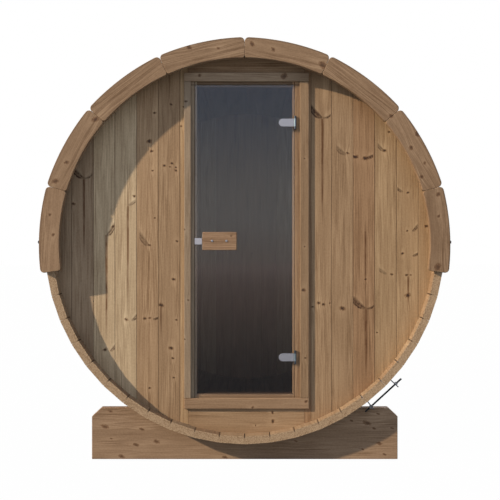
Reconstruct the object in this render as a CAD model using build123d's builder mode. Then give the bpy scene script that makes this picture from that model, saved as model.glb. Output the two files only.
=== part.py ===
"""Barrel sauna: a round room of long staves that lies on two saddles, with a glass door in its front wall.

The frame is in millimetres: X to the right, Y away from the front, Z up. The origin is on the ground
under the middle of the barrel. A place on an end of the barrel is given as (x, z) from the barrel's axis.
"""

import os
from math import cos, hypot, radians, sin, sqrt, tan

from build123d import *

os.makedirs("parts", exist_ok=True)

# Shell: flat-faced staves, each a long board with two slanted edges.
stave_count = 48
staves_per_group = 8
shell_radius = 1085.0  # to the outer corners between the staves
shell_length = 2000.0
stave_thickness = 42.0
stave_gap = 0.4
stave_edge_round = 4.0
ground_clearance = 108.3  # ground to the lowest stave

# End walls: round, let into a groove in the staves.
wall_thickness = 42.0
wall_inset = 69.0  # end of the staves to the face of the wall
groove_depth = 10.0
fit_gap = 0.3
board_gap = 0.4  # between pieces of one wall

# Doorway, its jambs and the posts beside it. X and Z places are from the axis.
opening_left = -264.9
opening_right = 265.3
opening_low = -821.2
opening_high = 871.4
jamb_left_width = 45.7
jamb_right_width = 63.5
jamb_end_height = 52.6  # of the jamb's head and of its sill
jamb_recess = 4.0  # face of the wall to the face of the jambs
post_left_width = 46.7
post_right_width = 36.7

# Casing: boards flat on the wall round the doorway. A reveal is the strip of jamb that it leaves to be seen.
casing_thickness = 15.0
casing_edge_round = 3.0
casing_left_width = 38.3
casing_right_width = 49.7
casing_low_width = 58.6
casing_high_width = 48.3
reveal_left = 30.8
reveal_right = 38.6
reveal_low = 24.2
reveal_high = 26.8

# Door leaf: one pane of glass that lies over the edge of the jambs.
glass_thickness = 8.0
glass_overlap_side = 8.0
glass_overlap_end = 7.0
glass_to_jamb = 5.0

# Hinges: a leaf clamped on the glass turns on a pin between the two ears of a bracket on the jamb.
hinge_inset = 200.5  # end of the opening to the middle of a hinge
hinge_axis_offset = 4.0  # edge of the glass to the pin
hinge_pin_radius = 3.5
hinge_running_gap = 0.05
knuckle_radius = 6.5
leaf_length = 80.0
leaf_height = 43.0
leaf_thickness = 6.0
leaf_back_thickness = 4.0
leaf_back_setback = 6.0  # the clamp behind the glass ends this far short of the opening's edge
neck_length = 10.0  # from the leaf to the pin
bracket_height = 73.0
bracket_foot = 3.0
ear_gap = 0.8
hinge_notch_clearance = 5.0

# Handle: a wooden block on each side of the glass, held by two bolts.
handle_inset = 41.8  # edge of the glass to the block
handle_length = 187.6
handle_height = 99.3
handle_thickness = 28.0
handle_middle_z = 18.6
handle_edge_round = 3.0
handle_bolt_inset = 52.6  # end of the block to the first bolt
handle_bolt_spacing = 78.4
handle_bolt_rise = 1.0  # above the middle of the block
handle_bolt_radius = 4.0
handle_bolt_gap = 0.3
handle_bolt_head_radius = 6.5
handle_bolt_head = 3.0
handle_bolt_bite = 18.0  # depth of the bolt in the inner block
glass_hole_radius = 6.0

# Catch: a clip on the edge of the glass meets a magnet on the jamb.
latch_width = 40.0
latch_height = 35.0
latch_middle_z = 18.2
latch_metal = 2.5
catch_width = 27.0
catch_depth = 16.0
catch_height = 29.0
catch_setback = 3.0  # face of the jamb to the face of the magnet

# Trims: short curved boards over the ends of the staves, from one side of the barrel over the top.
trim_count = 8
trim_overhang = 28.3  # beyond the corners of the staves
trim_width = 111.3
trim_thickness = 28.0
trim_centre_rise = 6.1  # the ring of trims is centred this far above the axis
trim_pitch = 24.6  # degrees
trim_start = -8.4  # degrees, lower end of the first trim
trim_flattening = 3.0  # the outer edge bows this much less than the ring
trim_gap = 0.4
trim_outer_corner_round = 23.0
trim_inner_corner_round = 14.0
trim_edge_round = 3.0

# Bolts in the outer edges of the two lowest trims.
side_bolt_rise = 13.0  # above the axis
side_bolt_radius = 4.0
side_bolt_length = 40.0
side_bolt_head_radius = 8.0
side_bolt_head = 6.0
side_bolt_gap = 0.2

# Bands: a steel hoop near each end, pulled tight by a threaded rod between two lugs.
band_width = 30.0
band_thickness = 1.5
band_inset = 75.0  # end of the staves to the middle of the band
tightener_angle = -47.4  # degrees
lug_spacing = 172.0
lug_height = 70.0
lug_thickness = 6.0
lug_foot_length = 40.0
lug_foot_thickness = 3.0
rod_radius = 4.0
rod_length = 271.0
rod_height = 46.0  # above the shell
nut_radius = 8.0
nut_height = 8.0
washer_radius = 11.0
washer_thickness = 2.0

# Saddles: a board on edge under each end, cut to the curve of the barrel.
saddle_width = 1700.6
saddle_height = 283.3
saddle_thickness = 60.0
saddle_inset = 101.0  # end of the staves to the outer face of the saddle
saddle_chamfer_across = 49.6
saddle_chamfer_down = 45.6

# Sizes worked out from the ones above.
axis_z = ground_clearance + shell_radius
half_pitch = 180.0 / stave_count
shell_apothem = shell_radius * cos(radians(half_pitch))
inner_apothem = shell_apothem - stave_thickness
groove_radius = inner_apothem + groove_depth
wall_radius = groove_radius - fit_gap
shell_front_y = -shell_length / 2
wall_front_y = shell_front_y + wall_inset
jamb_front_y = wall_front_y + jamb_recess
jamb_depth = wall_thickness - jamb_recess
glass_back_y = jamb_front_y - glass_to_jamb
glass_front_y = glass_back_y - glass_thickness

doorway_left = opening_left - jamb_left_width
doorway_right = opening_right + jamb_right_width
doorway_low = opening_low - jamb_end_height
doorway_high = opening_high + jamb_end_height
casing_inner_left = opening_left - reveal_left
casing_inner_right = opening_right + reveal_right
casing_inner_low = opening_low - reveal_low
casing_inner_high = opening_high + reveal_high
casing_outer_left = casing_inner_left - casing_left_width
casing_outer_right = casing_inner_right + casing_right_width
casing_outer_low = casing_inner_low - casing_low_width
casing_outer_high = casing_inner_high + casing_high_width

glass_left = opening_left - glass_overlap_side
glass_right = opening_right + glass_overlap_side
glass_low = opening_low - glass_overlap_end
glass_high = opening_high + glass_overlap_end
hinge_axis_x = glass_right + hinge_axis_offset
hinge_axis_y = glass_front_y - knuckle_radius
leaf_right = hinge_axis_x - neck_length
leaf_left = leaf_right - leaf_length
handle_left = glass_left + handle_inset
handle_middle = (handle_left + handle_length / 2, handle_middle_z)
first_bolt_x = handle_left + handle_bolt_inset
handle_bolt_z = handle_middle_z + handle_bolt_rise
handle_bolts = [(first_bolt_x, handle_bolt_z), (first_bolt_x + handle_bolt_spacing, handle_bolt_z)]
latch_low = latch_middle_z - latch_height / 2

trim_outer_radius = shell_radius + trim_overhang


def section_plane(y):
    """A plane across the barrel at y, facing the front: its own x is X, its own y is height from the axis."""
    return Plane(origin=(0, y, axis_z), x_dir=(1, 0, 0), z_dir=(0, -1, 0))


def level_plane(z):
    """A level plane at height z from the barrel's axis: its own x and y are X and Y."""
    return Plane.XY.offset(axis_z + z)


def save(piece, name):
    """Label a finished piece and write its STEP file."""
    piece.part.label = name
    export_step(piece.part, f"parts/{name}.step")


def slab(x_low, x_high, z_low, z_high, y_front, thickness):
    """An upright board that fills a rectangle of the section, from y_front backwards."""
    with BuildPart() as board:
        with BuildSketch(section_plane(y_front + thickness)):
            with Locations(((x_low + x_high) / 2, (z_low + z_high) / 2)):
                Rectangle(x_high - x_low, z_high - z_low)
        extrude(amount=thickness)
    return board


# ---------------------------------------------------------------- shell


def stave_group(index):
    """One sixth of the shell: neighbouring staves, grooved near both ends for the walls."""
    pitch = 2 * half_pitch
    with BuildPart() as group:
        with BuildSketch(section_plane(shell_length / 2)):
            with PolarLocations(
                shell_apothem - stave_thickness / 2,
                staves_per_group,
                start_angle=(index * staves_per_group + 0.5) * pitch,
                angular_range=staves_per_group * pitch,
            ):
                Trapezoid(
                    2 * shell_apothem * tan(radians(half_pitch)) - stave_gap,
                    stave_thickness,
                    90 - half_pitch,
                    rotation=90,
                )
            fillet(vertices(), stave_edge_round)
        extrude(amount=shell_length)
        for end in (-1, 1):
            wall_middle = end * (shell_length / 2 - wall_inset - wall_thickness / 2)
            groove_width = wall_thickness + 2 * fit_gap
            with BuildSketch(section_plane(wall_middle + groove_width / 2)):
                Circle(groove_radius)
            extrude(amount=groove_width, mode=Mode.SUBTRACT)
    return group


for number in range(stave_count // staves_per_group):
    save(stave_group(number), f"shell_staves_{number + 1}")


# ---------------------------------------------------------------- end walls


def wall_piece(x_low, x_high, z_low, z_high):
    """A piece of the front wall: the part of the round wall inside a rectangle."""
    with BuildPart() as piece:
        with BuildSketch(section_plane(wall_front_y + wall_thickness)):
            Circle(wall_radius)
            with Locations(((x_low + x_high) / 2, (z_low + z_high) / 2)):
                Rectangle(x_high - x_low, z_high - z_low, mode=Mode.INTERSECT)
        extrude(amount=wall_thickness)
    return piece


wall_edge = wall_radius + 1.0  # a reach that is safely past the round edge
panel_left = doorway_left + board_gap
panel_right = doorway_right - board_gap
post_left_edge = doorway_left - post_left_width
post_right_edge = doorway_right + post_right_width

front_wall_left = wall_piece(-wall_edge, post_left_edge - board_gap, -wall_edge, wall_edge)
save(front_wall_left, "front_wall_left")

front_wall_right = wall_piece(post_right_edge + board_gap, wall_edge, -wall_edge, wall_edge)
save(front_wall_right, "front_wall_right")

door_post_left = wall_piece(post_left_edge, doorway_left, -wall_edge, wall_edge)
save(door_post_left, "door_post_left")

door_post_right = wall_piece(doorway_right, post_right_edge, -wall_edge, wall_edge)
save(door_post_right, "door_post_right")

front_wall_over_door = wall_piece(panel_left, panel_right, doorway_high + board_gap, wall_edge)
save(front_wall_over_door, "front_wall_over_door")

front_wall_under_door = wall_piece(panel_left, panel_right, -wall_edge, doorway_low - board_gap)
save(front_wall_under_door, "front_wall_under_door")

with BuildPart() as back_wall:
    with BuildSketch(section_plane(-wall_front_y)):
        Circle(wall_radius)
    extrude(amount=wall_thickness)
save(back_wall, "back_wall")


# ---------------------------------------------------------------- door frame

door_jamb_left = slab(panel_left, opening_left, doorway_low, doorway_high, jamb_front_y, jamb_depth)
save(door_jamb_left, "door_jamb_left")

door_jamb_right = slab(opening_right, panel_right, doorway_low, doorway_high, jamb_front_y, jamb_depth)
save(door_jamb_right, "door_jamb_right")

door_jamb_head = slab(
    opening_left + board_gap, opening_right - board_gap, opening_high, doorway_high, jamb_front_y, jamb_depth
)
save(door_jamb_head, "door_jamb_head")

door_jamb_sill = slab(
    opening_left + board_gap, opening_right - board_gap, doorway_low, opening_low, jamb_front_y, jamb_depth
)
save(door_jamb_sill, "door_jamb_sill")


def casing_boards(rectangles):
    """Boards of the casing, flat on the wall, with their front edges rounded over."""
    with BuildPart() as boards:
        with BuildSketch(section_plane(wall_front_y)):
            for x_low, x_high, z_low, z_high in rectangles:
                with Locations(((x_low + x_high) / 2, (z_low + z_high) / 2)):
                    Rectangle(x_high - x_low, z_high - z_low)
        extrude(amount=casing_thickness)
        fillet(faces().group_by(Axis.Y)[0].edges(), casing_edge_round)
    return boards


stile_low = casing_inner_low + board_gap
stile_high = casing_inner_high - board_gap
door_casing_stiles = casing_boards(
    [
        (casing_outer_left, casing_inner_left, stile_low, stile_high),
        (casing_inner_right, casing_outer_right, stile_low, stile_high),
    ]
)
save(door_casing_stiles, "door_casing_stiles")

door_casing_rails = casing_boards(
    [
        (casing_outer_left, casing_outer_right, casing_inner_high, casing_outer_high),
        (casing_outer_left, casing_outer_right, casing_outer_low, casing_inner_low),
    ]
)
save(door_casing_rails, "door_casing_rails")


# ---------------------------------------------------------------- glass leaf

hinge_heights = {"upper": opening_high - hinge_inset, "lower": opening_low + hinge_inset}
notch_left = hinge_axis_x - knuckle_radius - hinge_notch_clearance
notch_height = bracket_height + 2 * hinge_notch_clearance

with BuildPart() as door_glass:
    with BuildSketch(section_plane(glass_back_y)):
        with Locations(((glass_left + glass_right) / 2, (glass_low + glass_high) / 2)):
            Rectangle(glass_right - glass_left, glass_high - glass_low)
        with Locations(*[(glass_right, z) for z in hinge_heights.values()]):
            Rectangle(2 * (glass_right - notch_left), notch_height, mode=Mode.SUBTRACT)
        with Locations(*handle_bolts):
            Circle(glass_hole_radius, mode=Mode.SUBTRACT)
    extrude(amount=glass_thickness)
save(door_glass, "door_glass")


def handle_block(y_back, outer_face):
    """A wooden block of the handle, drilled for the two bolts, with its outer edges rounded."""
    with BuildPart() as block:
        with BuildSketch(section_plane(y_back)):
            with Locations(handle_middle):
                Rectangle(handle_length, handle_height)
            fillet(vertices(), handle_edge_round)
        extrude(amount=handle_thickness)
        fillet(faces().sort_by(Axis.Y)[outer_face].edges(), handle_edge_round)
    return block


with BuildPart() as door_handle_outside:
    add(handle_block(glass_front_y, 0).part)
    with BuildSketch(section_plane(glass_front_y)):
        with Locations(*handle_bolts):
            Circle(handle_bolt_radius + handle_bolt_gap)
    extrude(amount=handle_thickness, mode=Mode.SUBTRACT)
save(door_handle_outside, "door_handle_outside")

with BuildPart() as door_handle_inside:
    add(handle_block(glass_back_y + handle_thickness, -1).part)
    with BuildSketch(section_plane(glass_back_y + handle_bolt_bite + handle_bolt_gap)):
        with Locations(*handle_bolts):
            Circle(handle_bolt_radius + handle_bolt_gap)
    extrude(amount=handle_bolt_bite + handle_bolt_gap, mode=Mode.SUBTRACT)
save(door_handle_inside, "door_handle_inside")

with BuildPart() as door_handle_bolts:
    with BuildSketch(section_plane(glass_back_y + handle_bolt_bite)):
        with Locations(*handle_bolts):
            Circle(handle_bolt_radius)
    extrude(amount=handle_bolt_bite + glass_thickness + handle_thickness)
    with BuildSketch(section_plane(glass_front_y - handle_thickness)):
        with Locations(*handle_bolts):
            Circle(handle_bolt_head_radius)
    extrude(amount=handle_bolt_head)
    fillet(faces().group_by(Axis.Y)[0].edges(), handle_bolt_head / 3)
save(door_handle_bolts, "door_handle_bolts")

with BuildPart() as door_latch_plate:
    with BuildSketch(section_plane(glass_back_y + latch_metal)):
        with Locations((glass_left - latch_metal, latch_low)):
            Rectangle(latch_width, latch_height, align=Align.MIN)
    extrude(amount=glass_thickness + 2 * latch_metal)
    with BuildSketch(section_plane(glass_back_y)):
        with Locations((glass_left, latch_low)):
            Rectangle(latch_width, latch_height, align=Align.MIN)
    extrude(amount=glass_thickness, mode=Mode.SUBTRACT)
save(door_latch_plate, "door_latch_plate")

door_catch = slab(
    opening_left,
    opening_left + catch_width,
    latch_middle_z - catch_height / 2,
    latch_middle_z + catch_height / 2,
    jamb_front_y + catch_setback,
    catch_depth,
)
save(door_catch, "door_catch")


# ---------------------------------------------------------------- hinges


def hinge_leaf(z):
    """The moving half of a hinge: a plate with a round end, its knuckle, and the clamp behind the glass."""
    end_radius = leaf_height / 2
    with BuildPart() as leaf:
        with BuildSketch(section_plane(glass_front_y)):
            with Locations(((leaf_left + end_radius + leaf_right) / 2, z)):
                Rectangle(leaf_right - leaf_left - end_radius, leaf_height)
            with Locations((leaf_left + end_radius, z)):
                Circle(end_radius)
            with Locations(((leaf_right + hinge_axis_x) / 2, z)):
                Rectangle(hinge_axis_x - leaf_right, leaf_height)
        extrude(amount=leaf_thickness)
        with BuildSketch(level_plane(z - leaf_height / 2)):
            with Locations((hinge_axis_x, hinge_axis_y)):
                Circle(knuckle_radius)
        extrude(amount=leaf_height)
        with BuildSketch(level_plane(z - leaf_height / 2)):
            with Locations((hinge_axis_x, hinge_axis_y)):
                Circle(hinge_pin_radius + hinge_running_gap)
        extrude(amount=leaf_height, mode=Mode.SUBTRACT)
        clamp_right = opening_right - leaf_back_setback
        with BuildSketch(section_plane(glass_back_y + leaf_back_thickness)):
            with Locations(((leaf_left + end_radius + clamp_right) / 2, z)):
                Rectangle(clamp_right - leaf_left - end_radius, leaf_height)
            with Locations((leaf_left + end_radius, z)):
                Circle(end_radius)
        extrude(amount=leaf_back_thickness)
    return leaf


def hinge_bracket(z):
    """The fixed half of a hinge: a foot on the jamb, two ears round the pin, and the pin between them."""
    foot_y = jamb_front_y - bracket_foot
    ear_low = leaf_height / 2 + ear_gap
    ear_height = bracket_height / 2 - ear_low
    with BuildPart() as bracket:
        with BuildSketch(section_plane(jamb_front_y)):
            with Locations((hinge_axis_x, z)):
                Rectangle(2 * knuckle_radius, bracket_height)
        extrude(amount=bracket_foot)
        for ear_z in (z - bracket_height / 2, z + ear_low):
            with BuildSketch(level_plane(ear_z)):
                with Locations((hinge_axis_x, (hinge_axis_y + foot_y) / 2)):
                    Rectangle(2 * knuckle_radius, foot_y - hinge_axis_y)
                with Locations((hinge_axis_x, hinge_axis_y)):
                    Circle(knuckle_radius)
            extrude(amount=ear_height)
        with BuildSketch(level_plane(z - ear_low)):
            with Locations((hinge_axis_x, hinge_axis_y)):
                Circle(hinge_pin_radius)
        extrude(amount=2 * ear_low)
    return bracket


for place, hinge_z in hinge_heights.items():
    save(hinge_leaf(hinge_z), f"hinge_leaf_{place}")
    save(hinge_bracket(hinge_z), f"hinge_bracket_{place}")


# ---------------------------------------------------------------- trims

trim_inner_radius = trim_outer_radius - trim_width
trim_middle_radius = trim_outer_radius - trim_flattening
trim_middle_of_width = (trim_outer_radius + trim_inner_radius) / 2
trim_half_chord = trim_outer_radius * sin(radians(trim_pitch / 2))
trim_bow = trim_outer_radius * (1 - cos(radians(trim_pitch / 2))) - trim_flattening
trim_edge_radius = (trim_half_chord**2 + trim_bow**2) / (2 * trim_bow)


def ring_point(radius, angle):
    """A point of the section, on a circle about the centre of the ring of trims."""
    return (radius * cos(radians(angle)), trim_centre_rise + radius * sin(radians(angle)))


def from_centre_beyond(radius):
    """A test for points of the section that lie farther than a radius from the centre of the ring of trims."""
    return lambda point: hypot(point.X, point.Y - trim_centre_rise) > radius


def from_centre_within(radius):
    """A test for points of the section that lie nearer than a radius to the centre of the ring of trims."""
    return lambda point: hypot(point.X, point.Y - trim_centre_rise) < radius


side_bolt_trims = {0: 1, trim_count - 1: -1}  # trim index: the side of the barrel that its bolt is on


def side_bolt_seat(index):
    """Distance from the axis to the outer edge of a lowest trim, at the height of its side bolt."""
    middle = trim_start + trim_pitch * (index + 0.5)
    centre_x, centre_z = ring_point(trim_middle_radius - trim_edge_radius, middle)
    reach = sqrt(trim_edge_radius**2 - (side_bolt_rise - centre_z) ** 2)
    return reach + side_bolt_trims[index] * centre_x


def trim_outline(index):
    """The outline of one trim, as a sketch in the plane of the section."""
    middle = trim_start + trim_pitch * (index + 0.5)
    half_gap = trim_gap / 2
    outer = trim_pitch / 2 - half_gap / radians(trim_outer_radius)
    inner = trim_pitch / 2 - half_gap / radians(trim_inner_radius)
    with BuildSketch() as outline:
        with BuildLine():
            outer_arc = ThreePointArc(
                ring_point(trim_outer_radius, middle - outer),
                ring_point(trim_middle_radius, middle),
                ring_point(trim_outer_radius, middle + outer),
            )
            inner_arc = ThreePointArc(
                ring_point(trim_inner_radius, middle - inner),
                ring_point(trim_inner_radius, middle),
                ring_point(trim_inner_radius, middle + inner),
            )
            Line(outer_arc @ 0, inner_arc @ 0)
            Line(outer_arc @ 1, inner_arc @ 1)
        make_face()
        fillet(vertices().filter_by(from_centre_beyond(trim_middle_of_width)), trim_outer_corner_round)
        fillet(vertices().filter_by(from_centre_within(trim_middle_of_width)), trim_inner_corner_round)
    return outline.sketch


def trims(indices, y_back, outer_face):
    """Trims of one end, by index, with the edges of their outer faces rounded over."""
    with BuildPart() as boards:
        with BuildSketch(section_plane(y_back)):
            for index in indices:
                add(trim_outline(index))
        extrude(amount=trim_thickness)
        fillet(faces().filter_by(Axis.Y).group_by(Axis.Y)[outer_face].edges(), trim_edge_round)
        for index in sorted(set(indices) & set(side_bolt_trims)):
            side = side_bolt_trims[index]
            outside = (side * (side_bolt_seat(index) + side_bolt_head), y_back - trim_thickness / 2)
            with BuildSketch(Plane(origin=(*outside, axis_z + side_bolt_rise), z_dir=(-side, 0, 0))):
                Circle(side_bolt_radius + side_bolt_gap)
            extrude(amount=side_bolt_head + side_bolt_length + side_bolt_gap, mode=Mode.SUBTRACT)
    return boards


for number in range(trim_count):
    save(trims([number], shell_front_y, 0), f"front_trim_{number + 1}")

save(trims(range(trim_count), -shell_front_y + trim_thickness, -1), "back_trims")

with BuildPart() as trim_side_bolts:
    for end in (-1, 1):
        for index, side in side_bolt_trims.items():
            bolt_y = end * (shell_length / 2 + trim_thickness / 2)
            seat = side * (side_bolt_seat(index) + side_bolt_gap)
            with BuildSketch(Plane(origin=(seat, bolt_y, axis_z + side_bolt_rise), z_dir=(side, 0, 0))):
                RegularPolygon(side_bolt_head_radius, 6)
            extrude(amount=side_bolt_head)
            with BuildSketch(Plane(origin=(seat, bolt_y, axis_z + side_bolt_rise), z_dir=(-side, 0, 0))):
                Circle(side_bolt_radius)
            extrude(amount=side_bolt_length)
save(trim_side_bolts, "trim_side_bolts")


# ---------------------------------------------------------------- bands

band_inner_radius = shell_radius
band_outer_radius = band_inner_radius + band_thickness
lug_angle = (lug_spacing / 2) / radians(shell_radius)


def band(y_middle):
    """The hoop, open between the two lugs of its tightener."""
    with BuildPart() as hoop:
        with BuildSketch(section_plane(y_middle + band_width / 2)):
            with BuildLine():
                start = tightener_angle + lug_angle
                outer = CenterArc((0, 0), band_outer_radius, start, 360 - 2 * lug_angle)
                inner = CenterArc((0, 0), band_inner_radius, start, 360 - 2 * lug_angle)
                Line(outer @ 0, inner @ 0)
                Line(outer @ 1, inner @ 1)
            make_face()
        extrude(amount=band_width)
    return hoop


def tightener(y_middle):
    """Two lugs on the ends of the hoop, and the threaded rod that pulls them together with its nuts."""
    out = (cos(radians(tightener_angle)), sin(radians(tightener_angle)))
    along = (-out[1], out[0])
    foot_inner = band_outer_radius + side_bolt_gap
    foot_angle = lug_foot_length / radians(shell_radius)
    rod_distance = shell_radius + rod_height
    with BuildPart() as assembly:
        for turn in (-1, 1):
            angle = tightener_angle + turn * lug_angle
            with BuildSketch(section_plane(y_middle + band_width / 2)):
                with BuildLine():
                    outer = CenterArc((0, 0), foot_inner + lug_foot_thickness, angle, turn * foot_angle)
                    inner = CenterArc((0, 0), foot_inner, angle, turn * foot_angle)
                    Line(outer @ 0, inner @ 0)
                    Line(outer @ 1, inner @ 1)
                make_face()
                with PolarLocations(foot_inner, 1, start_angle=angle):
                    Rectangle(lug_height, lug_thickness, align=(Align.MIN, Align.CENTER))
            extrude(amount=band_width)
        for turn in (-1, 1):
            for radius, start, length in (
                (rod_radius, 0.0, rod_length / 2),
                (washer_radius, lug_spacing / 2 + lug_thickness, washer_thickness),
                (nut_radius, lug_spacing / 2 + lug_thickness + washer_thickness, nut_height),
            ):
                centre = (
                    out[0] * rod_distance + turn * along[0] * start,
                    y_middle,
                    axis_z + out[1] * rod_distance + turn * along[1] * start,
                )
                away = (turn * along[0], 0, turn * along[1])
                with BuildSketch(Plane(origin=centre, x_dir=(0, 1, 0), z_dir=away)):
                    Circle(radius)
                extrude(amount=length)
    return assembly


band_y = shell_length / 2 - band_inset
save(band(-band_y), "front_band")
save(band(band_y), "back_band")
save(tightener(-band_y), "front_band_tightener")
save(tightener(band_y), "back_band_tightener")


# ---------------------------------------------------------------- saddles


def saddle(y_front):
    """A board on edge with cut top corners, and a seat of the barrel's radius."""
    top = saddle_height - axis_z
    half_width = saddle_width / 2
    with BuildPart() as board:
        with BuildSketch(section_plane(y_front + saddle_thickness)):
            with BuildLine():
                Polyline(
                    (-half_width, -axis_z),
                    (half_width, -axis_z),
                    (half_width, top - saddle_chamfer_down),
                    (half_width - saddle_chamfer_across, top),
                    (-half_width + saddle_chamfer_across, top),
                    (-half_width, top - saddle_chamfer_down),
                    close=True,
                )
            make_face()
            Circle(shell_radius + fit_gap, mode=Mode.SUBTRACT)
        extrude(amount=saddle_thickness)
    return board


saddle_y = shell_length / 2 - saddle_inset
save(saddle(-saddle_y), "front_saddle")
save(saddle(saddle_y - saddle_thickness), "back_saddle")
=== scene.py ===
"""Barrel sauna: the boards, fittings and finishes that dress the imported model, and its stage.

Sizes are in metres, in the frame of the model: X to the right, Y away from the front, Z up from the ground.
"""

from contextlib import contextmanager
from math import atan2, cos, degrees, floor, pi, radians, sin, tan
from random import Random

import bmesh
import bpy
from bpy.props import FloatProperty, FloatVectorProperty, IntProperty, PointerProperty
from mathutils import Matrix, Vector


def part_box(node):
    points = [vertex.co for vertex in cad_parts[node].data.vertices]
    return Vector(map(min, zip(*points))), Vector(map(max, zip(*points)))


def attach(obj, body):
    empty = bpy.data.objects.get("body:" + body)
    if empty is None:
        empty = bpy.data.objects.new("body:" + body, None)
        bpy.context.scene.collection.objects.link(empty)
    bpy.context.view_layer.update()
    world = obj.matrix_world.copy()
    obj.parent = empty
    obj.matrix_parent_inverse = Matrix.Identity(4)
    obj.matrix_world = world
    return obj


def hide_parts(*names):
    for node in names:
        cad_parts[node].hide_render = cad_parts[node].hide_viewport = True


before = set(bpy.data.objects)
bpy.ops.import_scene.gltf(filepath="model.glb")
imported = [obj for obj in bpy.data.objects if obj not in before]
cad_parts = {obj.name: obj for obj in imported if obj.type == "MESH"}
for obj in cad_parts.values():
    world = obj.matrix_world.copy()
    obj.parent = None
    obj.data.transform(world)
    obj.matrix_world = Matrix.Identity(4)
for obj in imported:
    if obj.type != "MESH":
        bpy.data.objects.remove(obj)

bl_info = {
    "name": "Barrel Sauna",
    "version": (1, 0, 0),
    "blender": (4, 5, 0),
    "location": "View3D > Sidebar > Sauna",
    "description": "Boards, fittings and finishes of a barrel sauna with a glass door",
    "category": "Object",
}

# ---- places read from the model

back_low, back_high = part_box("back_wall")
over_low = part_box("front_wall_over_door")[0]
under_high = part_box("front_wall_under_door")[1]
post_left_low, post_left_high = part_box("door_post_left")
post_right_low, post_right_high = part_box("door_post_right")
glass_low, glass_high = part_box("door_glass")
catch_low, catch_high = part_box("door_catch")
bolts_low, bolts_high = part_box("door_handle_bolts")

WALL_RADIUS = back_high.x
WALL_THICKNESS = back_high.y - back_low.y
AXIS_Z = (back_low.z + back_high.z) / 2
FRONT_WALL_Y = over_low.y
BACK_WALL_Y = back_low.y
SHELL_END_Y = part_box("shell_staves_1")[1].y

# What the modelling goes by: points this close are merged, places this close are the same, and edges
# past this angle are corners.
MERGE_GAP = 0.00001
SAME_PLACE = 0.0001
SHARP = radians(35)
FULL_TURN = 360.0
FLOOR_RADIUS = 60

# How the shell and the ring of trims are divided, for the grain of each board. Pitches are in degrees.
SHELL_RADIUS = 1.085
STAVE_PITCH = 7.5
STAVE_THICKNESS = 0.042
TRIM_PITCH = 24.6
TRIM_START = -8.4
TRIM_CENTRE_Z = AXIS_Z + 0.0061
TRIM_RIM = 1.1075
TRIM_LIGHTS = (0.93, 0.99, 1.0, 1.02, 0.98, 1.03, 1.0, 1.07)

# Corners cut off the saddles' tops, how wide and how high, and the gap under the shell.
SADDLE_CORNER = (0.0495, 0.0455)
SEAT_GAP = 0.0003

# The pane: how opaque each face is, its index of refraction, and how far off the painted shade line beside it
# runs.
PANE_ALPHA = 0.13
PANE_IOR = 3.2
SHADOW_LINE_GAP = 0.0035

# Hinge leaves: the knuckle at one end, and the clamp screws as they lie from the other.
KNUCKLE_WIDTH = 0.0145
SCREW_PLACES = (0.022, 0.054)
SCREW_RADIUS = 0.0045
SCREW_HEIGHT = 0.0018
SCREW_KEY_RADIUS = 0.0018

# The magnet of the catch, and the gap round it.
MAGNET_RADIUS = 0.0058
MAGNET_GAP = 0.0004

# Bolts of the handle.
BOLT_HEAD_DEPTH = 0.003
BOLT_ROUNDING = BOLT_HEAD_DEPTH * 0.8
BOLT_KEY_RADIUS = 0.0023
BOLT_SHANK_RADIUS = 0.004

# Tighteners of the bands. Their angles are in degrees.
TIGHTENER_ANGLE = -47.4
BAND_THICKNESS = 0.0017
LUG_HEIGHT = 0.070
LUG_THICKNESS = 0.006
LUG_CORNER = 0.010
FOOT_LENGTH = 0.040
FOOT_THICKNESS = 0.003
WASHER_RADIUS = 0.011
WASHER_THICKNESS = 0.002
NUT_RADIUS = 0.009
NUT_THICKNESS = 0.008
LUG_SPACING = 0.172
LUG_ANGLE = degrees(LUG_SPACING / 2 / SHELL_RADIUS)
ROD_HEIGHT = 0.046
ROD_LENGTH = 0.271
ROD_RADIUS = 0.005


def in_metres(*rows):
    """Rows of millimetres, turned into metres."""
    return [tuple(value / 1000 for value in row) for row in rows]


# Knots of the boards that face the front: across, height and radius in millimetres.
FRONT_KNOTS = in_metres(
    (-946, 1418, 8), (-771, 614, 8), (-727, 1293, 8), (-653, 780, 8), (-610, 1461, 7), (-552, 785, 7),
    (-527, 1764, 10), (-526, 1191, 6), (-525, 402, 6), (-524, 788, 6), (-515, 1709, 7), (-509, 1601, 5),
    (-497, 1920, 6), (-497, 1340, 5), (-462, 859, 10), (-443, 1629, 7), (-413, 1622, 4), (-407, 1967, 6),
    (-407, 622, 9), (-402, 1641, 6), (-397, 566, 6), (-392, 1002, 7), (-392, 459, 5), (-380, 1620, 5),
    (-380, 1602, 6), (-377, 777, 5), (-374, 1212, 6), (-350, 1847, 6), (-338, 1953, 5), (374, 850, 5),
    (408, 871, 8), (434, 863, 7), (469, 870, 4), (538, 841, 11), (568, 1698, 6), (612, 1678, 9),
    (664, 1670, 10), (666, 1002, 5), (729, 708, 4), (772, 1712, 8), (796, 1815, 6), (811, 1029, 6),
    (871, 1144, 6), (893, 1025, 6), (895, 1269, 5), (901, 1480, 6), (901, 913, 12), (916, 1026, 5),
    (1001, 1295, 8),
)
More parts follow.
